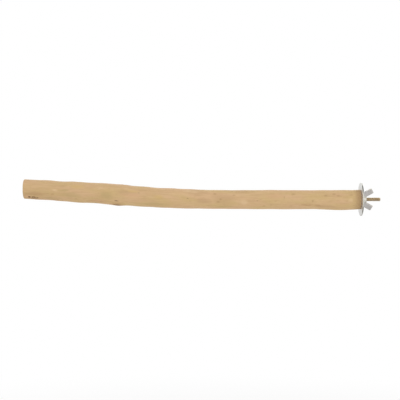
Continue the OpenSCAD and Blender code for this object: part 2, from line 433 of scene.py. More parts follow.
branch = {
    "face": branchHigh.x,
    "length": branchHigh.x - branchLow.x,
    "diameter": 26.7 * mm,
    "rise": 14 * mm,
    "bow": 3 * mm,
    "unevenness": 0.3 * mm,
    "rimRound": 1.2 * mm,
    "knotHeight": 0.9 * mm,
    "knotLength": 22 * mm,
    "mouthRadius": 2.55 * mm,
    "mouthDepth": 7 * mm,
    "pilotRadius": 1.75 * mm,
    "pilotDepth": 34 * mm,
    "lumpDepth": 0.16 * mm,
    "grainDepth": 0.07 * mm,
    "sawDepth": 0.12 * mm,
    "sides": 128,
    "rows": 600,
    "freeEndRows": 16,
    "boltEndRows": 8,
    "rimSteps": [0, 0.05, 0.14, 0.28, 0.46, 0.7, 1],
    "weld": 0.002 * mm,
    "seed": 4,
    # share of the length from the bolt's end, height of the middle, girth
    "course": [
        (0, -0.005, 0.975), (0.03, -0.045, 0.99), (0.06, -0.06, 1.015), (0.09, -0.05, 0.995),
        (0.12, -0.04, 0.975), (0.15, -0.025, 0.95), (0.24, -0.025, 0.955), (0.33, -0.015, 0.955),
        (0.417, -0.015, 0.955), (0.477, 0.03, 0.955), (0.507, 0.05, 0.975), (0.536, 0.075, 0.975),
        (0.566, 0.125, 0.985), (0.596, 0.165, 0.98), (0.626, 0.23, 0.995), (0.655, 0.28, 1.02),
        (0.685, 0.36, 1.015), (0.715, 0.43, 1.056), (0.745, 0.525, 1.062), (0.774, 0.58, 1.04),
        (0.804, 0.63, 1.02), (0.834, 0.675, 1.035), (0.864, 0.745, 1.01), (0.893, 0.795, 0.98),
        (0.923, 0.87, 0.985), (0.953, 0.91, 0.985), (0.983, 0.97, 0.987), (1, 1, 0.997)],
    # turns along the length, times round the branch, phase in degrees, strength
    "waves": [(3.1, 2, 0, 1), (7.3, -3, 40, 0.6), (13.7, 1, 110, 0.4)],
    # share of the length, angle (90 on top, 180 in front), then height, length, width and scar as shares
    "knots": [
        (0.722, 250, 1, 1, 0.7, 1), (0.702, 95, 0.7, 0.7, 0.6, 0.5), (0.96, 225, 0.5, 0.8, 0.5, 0),
        (0.43, 60, 0.6, 0.9, 0.6, 1), (0.2, 310, 0.5, 0.8, 0.5, 0.8), (0.055, 200, 0.35, 0.9, 0.7, 0)],
    # the skin: its two main tones, and how much browner it gets towards the free end
    "yellowish": srgb(201, 171, 120),
    "pinkish": srgb(208, 172, 131),
    "farTone": (srgb(184, 152, 108), 0.22),
    # noises: stretch along the branch, scale, detail, roughness, distortion
    "lumps": (0.45, 210, 3, 0.55),
    "ridges": (0.045, 620, 2, 0.5, 0.4),
    "noises": {
        "tone": (0.3, 75, 2, 0.5), "cloud": (0.25, 130, 3, 0.55), "mottle": (0.5, 330, 3, 0.6),
        "streak": (0.03, 900, 3, 0.6), "fibre": (0.014, 2300, 3, 0.62, 0.1)},
    # tones laid over the skin: noise, where it begins and is full, tone and strength
    "layers": [
        ("cloud", 0.45, 0.72, srgb(190, 157, 114), 0.45), ("mottle", 0.5, 0.72, srgb(180, 146, 104), 0.18),
        ("streak", 0.5, 0.75, srgb(182, 148, 106), 0.24), ("streak", 0.5, 0.28, srgb(220, 189, 149), 0.22),
        ("fibre", 0.52, 0.68, srgb(174, 140, 98), 0.34), ("fibre", 0.48, 0.32, srgb(224, 194, 152), 0.3)],
    # tone and strength of torn fibres, of pits, of the middle of dark marks, of the shade painted on the
    # skin by the bolt, of the light painted on its rounded rim there, and of the shade painted under the
    # free end
    "torn": (srgb(142, 108, 72), 0.55),
    "pit": (srgb(128, 96, 62), 0.5),
    "markMiddle": (srgb(128, 94, 58), 0.08),
    "boltEndShade": (srgb(176, 144, 102), 1),
    "boltRimLight": (srgb(190, 158, 132), 0.7),
    "freeEnd": (srgb(172, 138, 96), 0.35),
    # the same for a knot's halo, its rings and its scar
    "knotTones": [(srgb(168, 130, 88), 0.42), (srgb(124, 90, 60), 0.4), (srgb(92, 66, 46), 0.75)],
    "roughness": (0.52, 0.74),
    "gloss": 0.32,
    "bump": (0.45, 0.16 * mm),   # strength and depth
    "wanderFrom": 6,         # the half length in mm from which a mark's outline wanders far
    # stains, bruises and specks: tint and strength, then share of the length, angle, half length
    # and half width in mm for each
    "marks": [
        ("olive", srgb(180, 156, 106), 0.5, [
            (0.858, 200, 17, 4), (0.881, 176, 9, 2), (0.748, 190, 8, 5.5), (0.918, 231, 15, 2.6),
            (0.62, 222, 26, 2.6), (0.4, 228, 14, 2.2), (0.53, 45, 22, 4), (0.3, 330, 18, 4)]),
        ("brown", srgb(176, 138, 98), 0.5, [
            (0.956, 204, 14, 3), (0.912, 203, 2.2, 1.6), (0.162, 212, 8, 1.6), (0.126, 219, 9, 1.6),
            (0.79, 230, 11, 2), (0.22, 20, 12, 4), (0.66, 300, 14, 4)]),
        ("tan", srgb(186, 152, 112), 0.5, [
            (0.468, 191, 10, 5), (0.412, 178, 16, 8), (0.484, 140, 16, 6), (0.104, 225, 14, 3),
            (0.7, 165, 12, 4), (0.35, 120, 16, 4)]),
        ("yellow", srgb(204, 172, 112), 0.5, [
            (0.672, 152, 9, 2), (0.601, 178, 8, 3), (0.84, 150, 12, 3.4), (0.35, 70, 16, 4),
            (0.12, 350, 12, 4)]),
        ("pale", srgb(222, 192, 150), 0.45, [
            (0.347, 196, 6, 4), (0.033, 182, 4, 2.6), (0.905, 176, 4, 1.6), (0.77, 150, 5, 1),
            (0.5, 130, 12, 3), (0.58, 10, 14, 4)]),
        ("pink", srgb(208, 164, 128), 0.38, [
            (0.256, 158, 12, 5), (0.68, 182, 15, 4), (0.985, 222, 4, 2.5), (0.78, 226, 8, 2.5),
            (0.18, 60, 14, 5)]),
        ("dark", srgb(158, 122, 78), 0.31, [
            (0.433, 145, 2.7, 1.8), (0.416, 179, 1.9, 1.6), (0.423, 195, 2.6, 1.6),
            (0.377, 153, 2.3, 1.5), (0.228, 167, 1.4, 2.2), (0.201, 146, 3, 1.7), (0.144, 189, 1.6, 1.9),
            (0.106, 156, 2.7, 1.6), (0.081, 145, 2.7, 1.8), (0.069, 156, 2.6, 1.5), (0.031, 152, 4, 1.4),
            (0.288, 222, 2.8, 1.5), (0.717, 244, 1.8, 1.1), (0.77, 230, 3, 0.8), (0.64, 40, 2, 1.2),
            (0.33, 350, 1.8, 1.2)]),
        ("slit", srgb(96, 72, 48), 0.8, [(0.724, 215, 3, 0.85)]),
    ],
    # the sawn ends: their main tones, then the tone and strength of what shows in them
    "endTones": (srgb(206, 175, 130), srgb(196, 163, 120)),
    "endLayers": {
        "late": (srgb(166, 130, 90), 0.4), "rays": (srgb(220, 191, 150), 0.28),
        "pores": (srgb(150, 116, 80), 0.4), "pith": (srgb(138, 106, 72), 1),
        "saw": (srgb(220, 192, 152), 0.25), "cracks": (srgb(84, 60, 40), 0.8)},
    "ringWidth": 1.3 * mm,
    # where the pith is, and the cracks from it as direction in degrees and reach in mm
    "pith": (-1.1 * mm, 0.7 * mm),
    "cracks": ((35, 6.5), (168, 3.5), (275, 10.5)),
    "crackWidth": 0.16 * mm,
}


def onBranch(share, angle, straight=False):
    # a point on the skin, near enough for knots and flecks, or where it would be on a straight branch
    shares, heights, girths = zip(*branch["course"])
    radius = branch["diameter"] / 2 * np.interp(share, shares, girths)
    radians = math.radians(angle)
    curved = 0 if straight else 1
    return (branch["face"] - share * branch["length"],
            curved * branch["bow"] * math.sin(math.pi * share) + radius * math.cos(radians),
            curved * branch["rise"] * np.interp(share, shares, heights) + radius * math.sin(radians))


def branchBlank():
    # a lattice of rows and sides; each row has its share of the length, how far in from the skin it is,
    # the radius that it goes in to, and its depth in the bolt's hole
    capRows, skinRows, holeRows = branch["freeEndRows"], branch["rows"], branch["boltEndRows"]
    sides, mouth, pilot = branch["sides"], branch["mouthRadius"], branch["pilotRadius"]
    rim = branch["rimRound"] / branch["length"]
    rows = [(1, 1 - step / capRows, 0, 0) for step in range(capRows)]
    rows += [(1 - step * rim, 0, 0, 0) for step in branch["rimSteps"]]
    rows += [(1 - rim - (1 - 2 * rim) * step / skinRows, 0, 0, 0) for step in range(1, skinRows)]
    rows += [(step * rim, 0, 0, 0) for step in reversed(branch["rimSteps"])]
    rows += [(0, step / holeRows, mouth, 0) for step in range(1, holeRows + 1)]
    rows += [(0, 1, mouth, branch["mouthDepth"]), (0, 1, pilot, branch["mouthDepth"]),
             (0, 1, pilot, branch["pilotDepth"]), (0, 1, 0, branch["pilotDepth"])]
    table = np.repeat(np.array(rows, float), sides, axis=0)
    angles = np.tile(np.arange(sides) * turn / sides, len(rows))
    corners = np.arange((len(rows) - 1) * sides).reshape(-1, sides)
    beside = np.roll(corners, -1, axis=1)
    faces = np.stack([corners, beside, beside + sides, corners + sides], axis=2).reshape(-1, 4)
    # spread out as a flat sheet, so that no two points are in one place
    flat = np.stack([np.repeat(np.arange(len(rows)), sides) * mm, angles * mm, angles * 0], axis=1)
    mesh = bpy.data.meshes.new("branchBlank")
    mesh.from_pydata(flat.tolist(), [], faces.tolist())
    for label, values in zip(("share", "inset", "core", "depth"), table.T):
        setNumbers(mesh, label, values)
    setNumbers(mesh, "angle", angles)
    return mesh


def branchTree(inputs):
    tree, given = newGeometryTree("branchShape", inputs)
    share, angle, inset, core, depth = [
        namedNumber(label) for label in ("share", "angle", "inset", "core", "depth")]
    girth = curve(share, [(s, g) for s, h, g in branch["course"]], 0.9, 1.1)
    height = curve(share, [(s, h) for s, h, g in branch["course"]], -0.1, 1.1)
    # long slow waves, the same as on the solid
    waves = []
    for turns, rounds, phase, strength in branch["waves"]:
        along = timesPlus(share, turn * turns, math.radians(phase))
        waves.append(times(calc("SINE", timesPlus(angle, rounds, along)), strength))
    uneven = times(total(*waves), given["Unevenness"], 0.5)
    # the rounding at each sawn end
    rim = given["Rim Round"]
    fromEnd = times(least(share, minus(1, share)), given["Length"])
    short = most(minus(rim, fromEnd), 0)
    rimLoss = minus(rim, calc("SQRT", most(minus(times(rim, rim), times(short, short)), 0)))
    skin = minus(total(times(girth, given["Diameter"], 0.5), uneven), rimLoss)
    x = minus(given["Face"], total(times(share, given["Length"]), depth))
    middleY = times(given["Bow"], calc("SINE", times(share, math.pi)))
    middleZ = times(height, given["Rise"])
    cosine, sine = calc("COSINE", angle), calc("SINE", angle)

    def placed(along, radius):
        return vector(along, timesPlus(radius, cosine, middleY), timesPlus(radius, sine, middleZ))

    def unbent(radius):
        # where the same point would be on a straight branch
        return vector(x, times(radius, cosine), times(radius, sine))

    # first pass: the skin without its knots, so that each point can find the knot nearest to it
    first = moved(given["Geometry"], placed(x, skin))
    away, knotLength, knotWidth, knotHeight, knotScar = nearestMarker(
        given["Spots"], ("knotLength", "knotWidth", "knotHeight", "knotScar"))
    dx, dy, dz = parts(away)
    reach = distance(over(dx, knotLength), over(distance(dy, dz), knotWidth))
    scarReach = timesPlus(minus(noise(away, 900, 2), 0.5), 0.25, reach)
    collar = bell(over(minus(scarReach, 0.42), 0.13))
    hollow = bell(over(scarReach, 0.3))
    scarShape = times(minus(times(collar, 0.22), times(hollow, 0.55)), knotScar)
    found = storeNumber(first, "knotReach", timesPlus(minus(1, knotScar), 9, reach))
    lifted = storeNumber(found, "lift", times(total(bell(reach), scarShape), knotHeight))

    # second pass: knots, lumps and the ridges of the grain, in a skin that swells to make up for them
    seeded = vectorCalc("ADD", unbent(skin), vector(given["Seed"], 0, 0))
    lumps, ridges = grained(seeded, *branch["lumps"]), grained(seeded, *branch["ridges"])
    loss = total(times(lumps, given["Lump Depth"]), times(ridges, given["Grain Depth"]))
    swell = times(total(given["Lump Depth"], given["Grain Depth"]), spread(share, 0.985, 0.955), 0.5)
    surface = minus(total(skin, namedNumber("lift"), swell), loss)
    radius = between(inset, surface, core)
    # the saw leaves the ends a little uneven
    isEnd = spread(inset, 0, 0.06)
    straight = unbent(radius)
    saw = times(isEnd, noise(scaled(straight, (0, 0.3, 1)), 900, 3, 0.6), given["Saw Depth"])
    inward = calc("SIGN", minus(share, 0.5))
    second = moved(lifted, placed(timesPlus(saw, inward, x), radius))
    withPlaces = storeNumber(second, "straight", straight, "FLOAT_VECTOR")
    withEnds = storeNumber(withPlaces, "endGrain", isEnd)
    endGeometryTree(welded(withEnds, given["Weld"]), given["Material"])
    return tree


def sawnEnd(place, y, z):
    # growth rings round the pith, each with a dark outer edge, and rays across them; also its height
    pithY, pithZ = total(y, -branch["pith"][0]), total(z, -branch["pith"][1])
    reach = distance(pithY, pithZ)
    flat = scaled(place, (0, 1, 1))
    drift = noise(flat, 260, 2)
    bent = times(reach, total(times(noise(flat, 95, 2), 0.5), times(drift, 0.06), 0.72))
    uneven = times(calc("SINE", over(bent, 1.9 * mm)), 0.45)
    ring = calc("FRACT", total(over(bent, branch["ringWidth"]), uneven))
    late = times(spread(ring, 0.35, 0.9), spread(ring, 1, 0.94))
    rayPlace = vector(times(calc("ARCTAN2", pithZ, pithY), 14), times(reach, 60), 0)
    rays = noise(rayPlace, 4, 2)
    pores = noise(flat, 3600, 2)
    sawLines = noise(scaled(place, (0, 0.06, 1)), 1500, 2)
    # drying has opened fine cracks outwards from the pith
    cracks = 0
    for degrees, length in branch["cracks"]:
        sine, cosine = math.sin(math.radians(degrees)), math.cos(math.radians(degrees))
        wander = times(minus(drift, 0.5), 1.6 * mm)
        side = calc("ABSOLUTE", total(times(pithY, -sine), times(pithZ, cosine), wander))
        outward = total(times(pithY, cosine), times(pithZ, sine))
        width = times(spread(outward, length * mm, 0), branch["crackWidth"])
        crack = times(spread(minus(side, width), 0.08 * mm, 0), spread(outward, 0, 0.5 * mm))
        cracks = most(cracks, crack)
    masks = {
        "late": late, "rays": spread(rays, 0.52, 0.72), "pores": spread(pores, 0.55, 0.7),
        "pith": spread(reach, 1.3 * mm, 0.5 * mm), "saw": spread(sawLines, 0.5, 0.7), "cracks": cracks}
    color = mix(spread(drift, 0.3, 0.7), *branch["endTones"])
    color = tinted(color, *((*layer, masks[label]) for label, layer in branch["endLayers"].items()))
    return color, total(times(sawLines, 0.8), times(pores, 0.5), times(cracks, -2))


def cells(place, along, scale):
    made = newNode("ShaderNodeTexVoronoi", {
        "Vector": scaled(place, (along, 1, 1)), "Scale": scale, "Randomness": 1}, feature="F1")
    return made.outputs["Distance"], parts(made.outputs["Color"])


def shaken(place, start, along, scale, detail, reach):
    # moves a place at random, by up to half the reach each way
    cloud = grained(place, along, scale, detail, output="Color")
    shifted = vectorCalc("MULTIPLY_ADD", cloud, reach, start)
    return vectorCalc("SUBTRACT", shifted, tuple(side / 2 for side in reach))


def marked(color, place):
    # marks with ragged outlines, of which the large ones wander more; also where the dark ones are
    ragged = shaken(place, place, 0.5, 420, 3, (2.4 * mm, 1.4 * mm, 1.4 * mm))
    roaming = shaken(place, ragged, 0.6, 110, 2, (14 * mm, 5 * mm, 5 * mm))
    dark = 0
    for label, tone, strength, spots in branch["marks"]:
        found = 0
        for share, angle, length, width in spots:
            outline = roaming if length > branch["wanderFrom"] else ragged
            middle = onBranch(share, angle, straight=True)
            found = most(found, ovalMark(outline, middle, (length * mm, width * mm, width * mm)))
        color = tinted(color, (tone, strength, found))
        if label == "dark":
            color = tinted(color, (*branch["markMiddle"], spread(found, 0.85, 1)))
        if label in ("dark", "slit"):
            dark = most(dark, found)
    return color, dark


def knotted(color, place, mottle):
    # each knot is a dark scar with rings, in a brown halo
    ragging = total(times(noise(place, 700, 3, 0.6), 0.34), -0.17)
    scar = total(attribute("knotReach"), times(ragging, 0.8))
    rings = calc("SINE", timesPlus(scar, 34, times(mottle, 9)))
    halo, ring, core = branch["knotTones"]
    return tinted(
        color, (*halo, spread(scar, 1.15, 0.35)),
        (*ring, spread(scar, 0.62, 0.3), spread(rings, -0.9, 1)),
        (*core, spread(scar, 0.3, 0.16), spread(mottle, 0.25, 0.5)))


def woodMaterial():
    material = newMaterial("peeledWood")
    place = attribute("straight", "Vector")
    x, y, z = parts(place)
    face, freeEnd = branch["face"], branch["face"] - branch["length"]
    noises = {name: grained(place, *values) for name, values in branch["noises"].items()}
    mottle, streak, fibre = noises["mottle"], noises["streak"], noises["fibre"]
    # broad patches, pinker and yellower by turns, then the grain
    color = mix(spread(noises["tone"], 0.35, 0.65), branch["yellowish"], branch["pinkish"])
    leftward = spread(x, face - 0.5 * branch["length"], face - 0.95 * branch["length"])
    color = tinted(color, (*branch["farTone"], leftward), *(
        (tone, strength, spread(noises[name], low, high))
        for name, low, high, tone, strength in branch["layers"]))
    # the short dark ends of fibres that the peeling tore
    torn, chances = cells(place, 0.11, 640)
    tear = times(spread(torn, 0.2, 0.06), spread(chances[1], 0.78, 0.9), spread(mottle, 0.42, 0.58))
    color, dark = marked(tinted(color, (*branch["torn"], tear)), place)
    # short dark pits here and there
    pits, chances = cells(place, 0.45, 240)
    pit = times(spread(pits, 0.2, 0.08), spread(chances[0], 0.88, 0.96))
    # painted shade by the washers at the bolt's end, stronger on top, painted light on the rounded rim
    # there, and painted shade under the free end
    color = tinted(
        color, (*branch["pit"], pit),
        # painted shade by the washers at the bolt's end, stronger on top than underneath
        (*branch["boltEndShade"], spread(z, -9 * mm, 7 * mm, 0.62, 0.95),
         spread(x, face - 12 * mm, face - 2.5 * mm)),
        # painted light that lifts the shaded rounded rim against the washer
        (*branch["boltRimLight"], spread(x, face - 1.6 * mm, face - 0.4 * mm)),
        # painted shade under the free end
        (*branch["freeEnd"], spread(x, freeEnd + 60 * mm, freeEnd + 5 * mm),
         spread(z, 2 * mm, -12 * mm), spread(mottle, 0.3, 0.6)))
    isEnd = attribute("endGrain")
    endColor, endHeight = sawnEnd(place, y, z)
    color = mix(isEnd, knotted(color, place, mottle), endColor)
    rough = spread(total(times(streak, 0.6), times(mottle, 0.4)), 0.3, 0.7, *branch["roughness"])
    height = total(times(streak, 0.35), times(mottle, 0.35), times(fibre, 0.4), times(tear, -0.7),
                   times(pit, -0.9), times(dark, -0.6), times(isEnd, endHeight))
    surfaced({"Base Color": color, "Roughness": rough, "Specular IOR Level": branch["gloss"]},
             height, *branch["bump"])
    return material


def makeBranch(material):
    half = branch["knotLength"] / 2
    return grownAround("peeledBranch", branchBlank(), branchTree, {
        "Face": branch["face"], "Length": branch["length"], "Diameter": branch["diameter"],
        "Rise": branch["rise"], "Bow": branch["bow"], "Unevenness": branch["unevenness"],
        "Rim Round": branch["rimRound"], "Grain Depth": branch["grainDepth"],
        "Lump Depth": branch["lumpDepth"], "Saw Depth": branch["sawDepth"], "Weld": branch["weld"],
        "Seed": branch["seed"], "Material": material},
        branch["knots"],
        {"knotHeight": branch["knotHeight"], "knotLength": half, "knotWidth": half, "knotScar": 1})


peeledBranch = makeBranch(woodMaterial())
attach(peeledBranch, "perch")
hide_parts("branch")
print("branch made,", len(peeledBranch.data.polygons), "faces")


# Scraps of inner bark that the peeling left
bark = {
    # share of the length, angle, reach along and round, how thickly they lie per square metre
    "patches": [
        (0.97, 232, 9.5 * mm, 2.6 * mm, 1.5e6), (0.724, 247, 5.5 * mm, 2.4 * mm, 0.6e6),
        (0.79, 262, 9 * mm, 3 * mm, 0.15e6), (0.996, 203, 1.5 * mm, 1.5 * mm, 0.8e6),
        (0.9, 250, 8 * mm, 3 * mm, 0.1e6), (0.5, 20, 10 * mm, 4 * mm, 0.12e6)],
    "size": 0.52 * mm,
    "seed": 11,
    "tones": (srgb(92, 66, 44), srgb(136, 104, 70)),
    "fibre": (srgb(160, 128, 90), 0.4),
    "roughness": (0.7, 0.9),
    "gloss": 0.2,
    "bump": (0.5, 0.05 * mm),
}


def barkTree(inputs):
    tree, given = newGeometryTree("barkScraps", inputs)
    away, along, across, thick = nearestMarker(
        given["Spots"], ("patchLength", "patchWidth", "patchDensity"))
    dx, dy, dz = parts(away)
    down, side = over(dx, along), over(distance(dy, dz), across)
    reach = total(times(down, down), times(side, side))
    clumps = spread(noise(away, 900, 2), 0.42, 0.62)
    scattered = newNode("GeometryNodeDistributePointsOnFaces", {
        "Mesh": given["Geometry"], "Density": times(thick, spread(reach, 1, 0.3), clumps),
        "Seed": given["Seed"]}).outputs
    # each flake is a small ball, swollen unevenly and pressed flat
    ball = out("GeometryNodeMeshIcoSphere", {"Radius": 1.0, "Subdivisions": 2})
    here = out("GeometryNodeInputPosition")
    jagged = noise(here, 1.7, 2)
    flake = moved(ball, scaled(here, vector(
        timesPlus(jagged, 1.6, 0.9), timesPlus(jagged, 0.8, 0.3), 0.32)))
    turned = out("FunctionNodeAlignRotationToVector", {
        "Rotation": scattered["Rotation"], "Vector": (1, 0, 0)}, axis="X", pivot_axis="Z")
    sizes = newNode("FunctionNodeRandomValue", {2: 0.35, 3: 1.3, "Seed": given["Seed"]}, data_type="FLOAT")
    size = times(sizes.outputs[1], given["Size"])
    placed = out("GeometryNodeInstanceOnPoints", {
        "Points": scattered["Points"], "Instance": flake, "Rotation": turned,
        "Scale": vector(size, size, size)})
    endGeometryTree(placed, given["Material"])
    return tree


def barkMaterial():
    material, place = newMaterial("innerBark"), objectPlace()
    blotch = noise(place, 700, 3, 0.6)
    fibre = grained(place, 0.1, 4000, 2)
    color = mix(spread(blotch, 0.35, 0.65), *bark["tones"])
    color = tinted(color, (*bark["fibre"], spread(fibre, 0.5, 0.7)))
    rough = spread(blotch, 0.3, 0.7, *bark["roughness"])
    surfaced({"Base Color": color, "Roughness": rough, "Specular IOR Level": bark["gloss"]},
             fibre, *bark["bump"])
    return material


def makeBark():
    piece = grownAround("barkScraps", peeledBranch.data.copy(), barkTree, {
        "Size": bark["size"], "Seed": bark["seed"], "Material": barkMaterial()},
        bark["patches"], {"patchLength": 1, "patchWidth": 1, "patchDensity": 1})
    piece.data.shade_smooth()
    return piece


barkScraps = makeBark()
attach(barkScraps, "perch")
print("bark scraps made,", len(barkScraps.data.polygons), "faces")


# Threads: one tree makes the bolt's machine thread, its wood thread and the tap that cuts the nut
def threadTree(name, profile, rowsPerTurn, sides):
    tree, given = newGeometryTree(name, {
        "Pitch": 0.8 * mm, "Root Radius": 2 * mm, "Crest Radius": 2.5 * mm, "From": 0.0, "To": 10 * mm,
        "From Radius": 1 * mm, "To Radius": 1 * mm, "From Slope": 1.0, "To Slope": 1.0, "Flare": 0.0,
        "Turns": 10, "Weld": bolt["weld"]})
    pitch, start, end, root = given["Pitch"], given["From"], given["To"], given["Root Radius"]
    startRadius, endRadius = given["From Radius"], given["To Radius"]
    rows = timesPlus(given["Turns"], rowsPerTurn, 1)
    grid = out("GeometryNodeMeshGrid", {
        "Size X": 1.0, "Size Y": 1.0, "Vertices X": rows, "Vertices Y": sides + 1})
    u, v, flat = parts(out("GeometryNodeInputPosition"))
    row = calc("ROUND", times(total(u, 0.5), minus(rows, 1)))
    around = total(v, 0.5)
    # rows run along the helix, so that every crest and root has a row of its own
    leadIn = minus(times(calc("FLOOR", over(start, pitch)), pitch), times(pitch, bolt["leadTurns"]))
    x = total(leadIn, times(total(over(row, rowsPerTurn), around, -0.5), pitch))
    phase = calc("FRACT", over(total(row, 0.01), rowsPerTurn))
    radius = timesPlus(curve(phase, profile, 0, 1), minus(given["Crest Radius"], root), root)
    inside = least(most(x, start), end)
    before, after = minus(inside, start), minus(end, inside)
    narrow = least(radius, timesPlus(before, given["From Slope"], startRadius),
                   timesPlus(after, given["To Slope"], endRadius))
    wide = most(radius, minus(startRadius, before), minus(endRadius, after))
    # past each end the rows run flat to the middle and close it
    past = most(minus(start, x), minus(x, end))
    shrink = most(minus(1, over(most(past, 0), pitch)), 0)
    closed = times(between(given["Flare"], narrow, wide), shrink)
    angle = times(around, turn)
    place = vector(inside, times(closed, calc("SINE", angle)), times(closed, calc("COSINE", angle), -1))
    endGeometryTree(welded(moved(grid, place), given["Weld"]), given["Material"])
    return tree


def makeThread(name, tree, values):
    # a few turns more than it is long, which close its ends
    turns = int((values["To"] - values["From"]) / values["Pitch"]) + bolt["spareTurns"]
    return cleaned(grown(name, bpy.data.meshes.new("empty"), tree, {**values, "Turns": turns}))


def cleaned(piece, weld=0.0004 * mm):
    # drops the slivers where rows meet, and turns every face outwards
    mesh = bmesh.new()
    mesh.from_mesh(piece.data)
    bmesh.ops.remove_doubles(mesh, verts=mesh.verts, dist=weld)
    bmesh.ops.dissolve_degenerate(mesh, edges=mesh.edges, dist=weld)
    loose = [v for v in mesh.verts if not v.link_faces]
    bmesh.ops.delete(mesh, geom=loose, context="VERTS")
    manySided = [f for f in mesh.faces if len(f.verts) > 4]
    bmesh.ops.triangulate(mesh, faces=manySided, ngon_method="BEAUTY")
    bmesh.ops.recalc_face_normals(mesh, faces=mesh.faces)
    mesh.to_mesh(piece.data)
    mesh.free()
    return piece


def combine(piece, other, operation):
    # adds another solid to a piece or cuts it away, and leaves one closed skin
    step = piece.modifiers.new("combine", "BOOLEAN")
    step.operation = operation
    step.object = other
    step.solver = "MANIFOLD"
    finished(piece)
    cleaned(piece)
    bpy.data.objects.remove(other)


def painted(piece, material):
    # one material over the whole skin, and a line on how well the skin is closed
    piece.data.materials.clear()
    piece.data.materials.append(material)
    piece.data.shade_smooth()
    mesh = bmesh.new()
    mesh.from_mesh(piece.data)
    openEdges = sum(1 for e in mesh.edges if len(e.link_faces) != 2)
    volume = mesh.calc_volume(signed=True) / mm ** 3
    mesh.free()
    print("  ", piece.name, "open edges %d, volume %.1f mm3" % (openEdges, volume))
    return piece


def lathed(name, profile, segments):
    # turns an outline of (x, radius) about the bolt's axis; a radius of 0 closes an end
    vertices, rings = [], []
    for x, radius in profile:
        if radius == 0:
            rings.append([len(vertices)] * segments)
            vertices.append((x, 0, 0))
            continue
        rings.append(list(range(len(vertices), len(vertices) + segments)))
        for j in range(segments):
            angle = turn * j / segments
            vertices.append((x, radius * math.sin(angle), -radius * math.cos(angle)))
    faces = []
    for low, high in zip(rings, rings[1:] + rings[:1]):
        for j in range(segments):
            k = (j + 1) % segments
            corners = list(dict.fromkeys((low[j], low[k], high[k], high[j])))
            if len(corners) > 2 and low[0] != high[0]:
                faces.append(corners)
    mesh = bpy.data.meshes.new(name)
    mesh.from_pydata(vertices, [], faces)
    mesh.validate()
    return mesh


# Bolt
boltLow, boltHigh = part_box("hanger_bolt")
bolt = {
    "point": boltLow.x,
    "tip": boltHigh.x,
    "pitch": 0.8 * mm,
    "crest": 2.5 * mm,
    "root": 2.009 * mm,
    "sunk": 2 * mm,
    "shankRadius": 2.2 * mm,
    "shankLength": 5 * mm,
    "shankFillet": 0.3 * mm,
    "woodPitch": 2.2 * mm,
    "woodCrest": 2.48 * mm,
    "woodCore": 1.7 * mm,
    "woodPointLength": 7 * mm,
    "woodPointRadius": 0.28 * mm,
    "chamfer": 0.35 * mm,
    "rows": 12,
    "sides": 56,
    "leadTurns": 4,
    "spareTurns": 8,
    "weld": 0.0005 * mm,
    "wornFrom": 0.7,         # the share of the thread's height where wear begins
    "finish": {
        "Dark": srgb(161, 146, 110), "Light": srgb(181, 166, 130), "Worn": srgb(206, 190, 160),
        "Bloom": srgb(192, 162, 136), "Bloom Share": 0.35, "Rough Low": 0.32, "Rough High": 0.5,
        "Grain Size": 1.4 * mm},
    "metallic": 1,
}
# across one pitch, with the crest's middle at 0.5
machineProfile = [(0, 0), (0.08, 0.02), (0.15, 0.16), (0.38, 0.88), (0.44, 0.985), (0.5, 1), (0.56, 0.985),
                  (0.62, 0.88), (0.85, 0.16), (0.92, 0.02), (1, 0)]
woodProfile = [(0, 0), (0.25, 0), (0.33, 0.05), (0.4, 0.5), (0.465, 0.95), (0.5, 1), (0.535, 0.95),
               (0.6, 0.5), (0.67, 0.05), (0.75, 0), (1, 0)]
machineTree = threadTree("machineThread", machineProfile, bolt["rows"], bolt["sides"])
woodTree = threadTree("woodThread", woodProfile, bolt["rows"], bolt["sides"])


def vertexPlaces(mesh):
    places = np.empty(len(mesh.vertices) * 3)
    mesh.vertices.foreach_get("co", places)
    return places.reshape(-1, 3)


def markCrests(mesh):
    # how near each vertex is to the crest of its thread, as a number for the worn crests
    x, y, z = vertexPlaces(mesh).T
    isMachine = x > branch["face"] - bolt["sunk"]
    root = np.where(isMachine, bolt["root"], bolt["woodCore"])
    crest = np.where(isMachine, bolt["crest"], bolt["woodCrest"])
    share = (np.hypot(y, z) - root) / (crest - root)
    setNumbers(mesh, "crest", np.clip((share - bolt["wornFrom"]) / (1 - bolt["wornFrom"]), 0, 1))


def makeBolt(material):
    shankEnd = branch["face"] - bolt["sunk"]
    shankStart = shankEnd - bolt["shankLength"]
    root, core, fillet, radius = bolt["root"], bolt["woodCore"], bolt["shankFillet"], bolt["shankRadius"]
    machine = makeThread("threadedBolt", machineTree, {
        "Pitch": bolt["pitch"], "Root Radius": root, "Crest Radius": bolt["crest"], "From": shankEnd,
        "To": bolt["tip"], "From Radius": root, "To Radius": root - bolt["chamfer"], "Material": material})
    wooden = makeThread("woodThread", woodTree, {
        "Pitch": bolt["woodPitch"], "Root Radius": core, "Crest Radius": bolt["woodCrest"],
        "From": bolt["point"], "To": shankStart, "From Radius": bolt["woodPointRadius"], "To Radius": core,
        "From Slope": (bolt["woodCrest"] - bolt["woodPointRadius"]) / bolt["woodPointLength"],
        "Material": material})
    shank = addObject("shank", lathed("shank", [
        (shankStart - fillet, 0), (shankStart - fillet, radius - fillet), (shankStart, radius),
        (shankEnd, radius), (shankEnd + fillet, radius - fillet), (shankEnd + fillet, 0)], bolt["sides"]))
    combine(machine, wooden, "UNION")
    combine(machine, cleaned(shank), "UNION")
    markCrests(machine.data)
    return painted(machine, material)


threadedBolt = makeBolt(platedMaterial("yellowPassivated", bolt, "crest"))
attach(threadedBolt, "perch")
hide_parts("hanger_bolt")
print("bolt made,", len(threadedBolt.data.polygons), "faces")


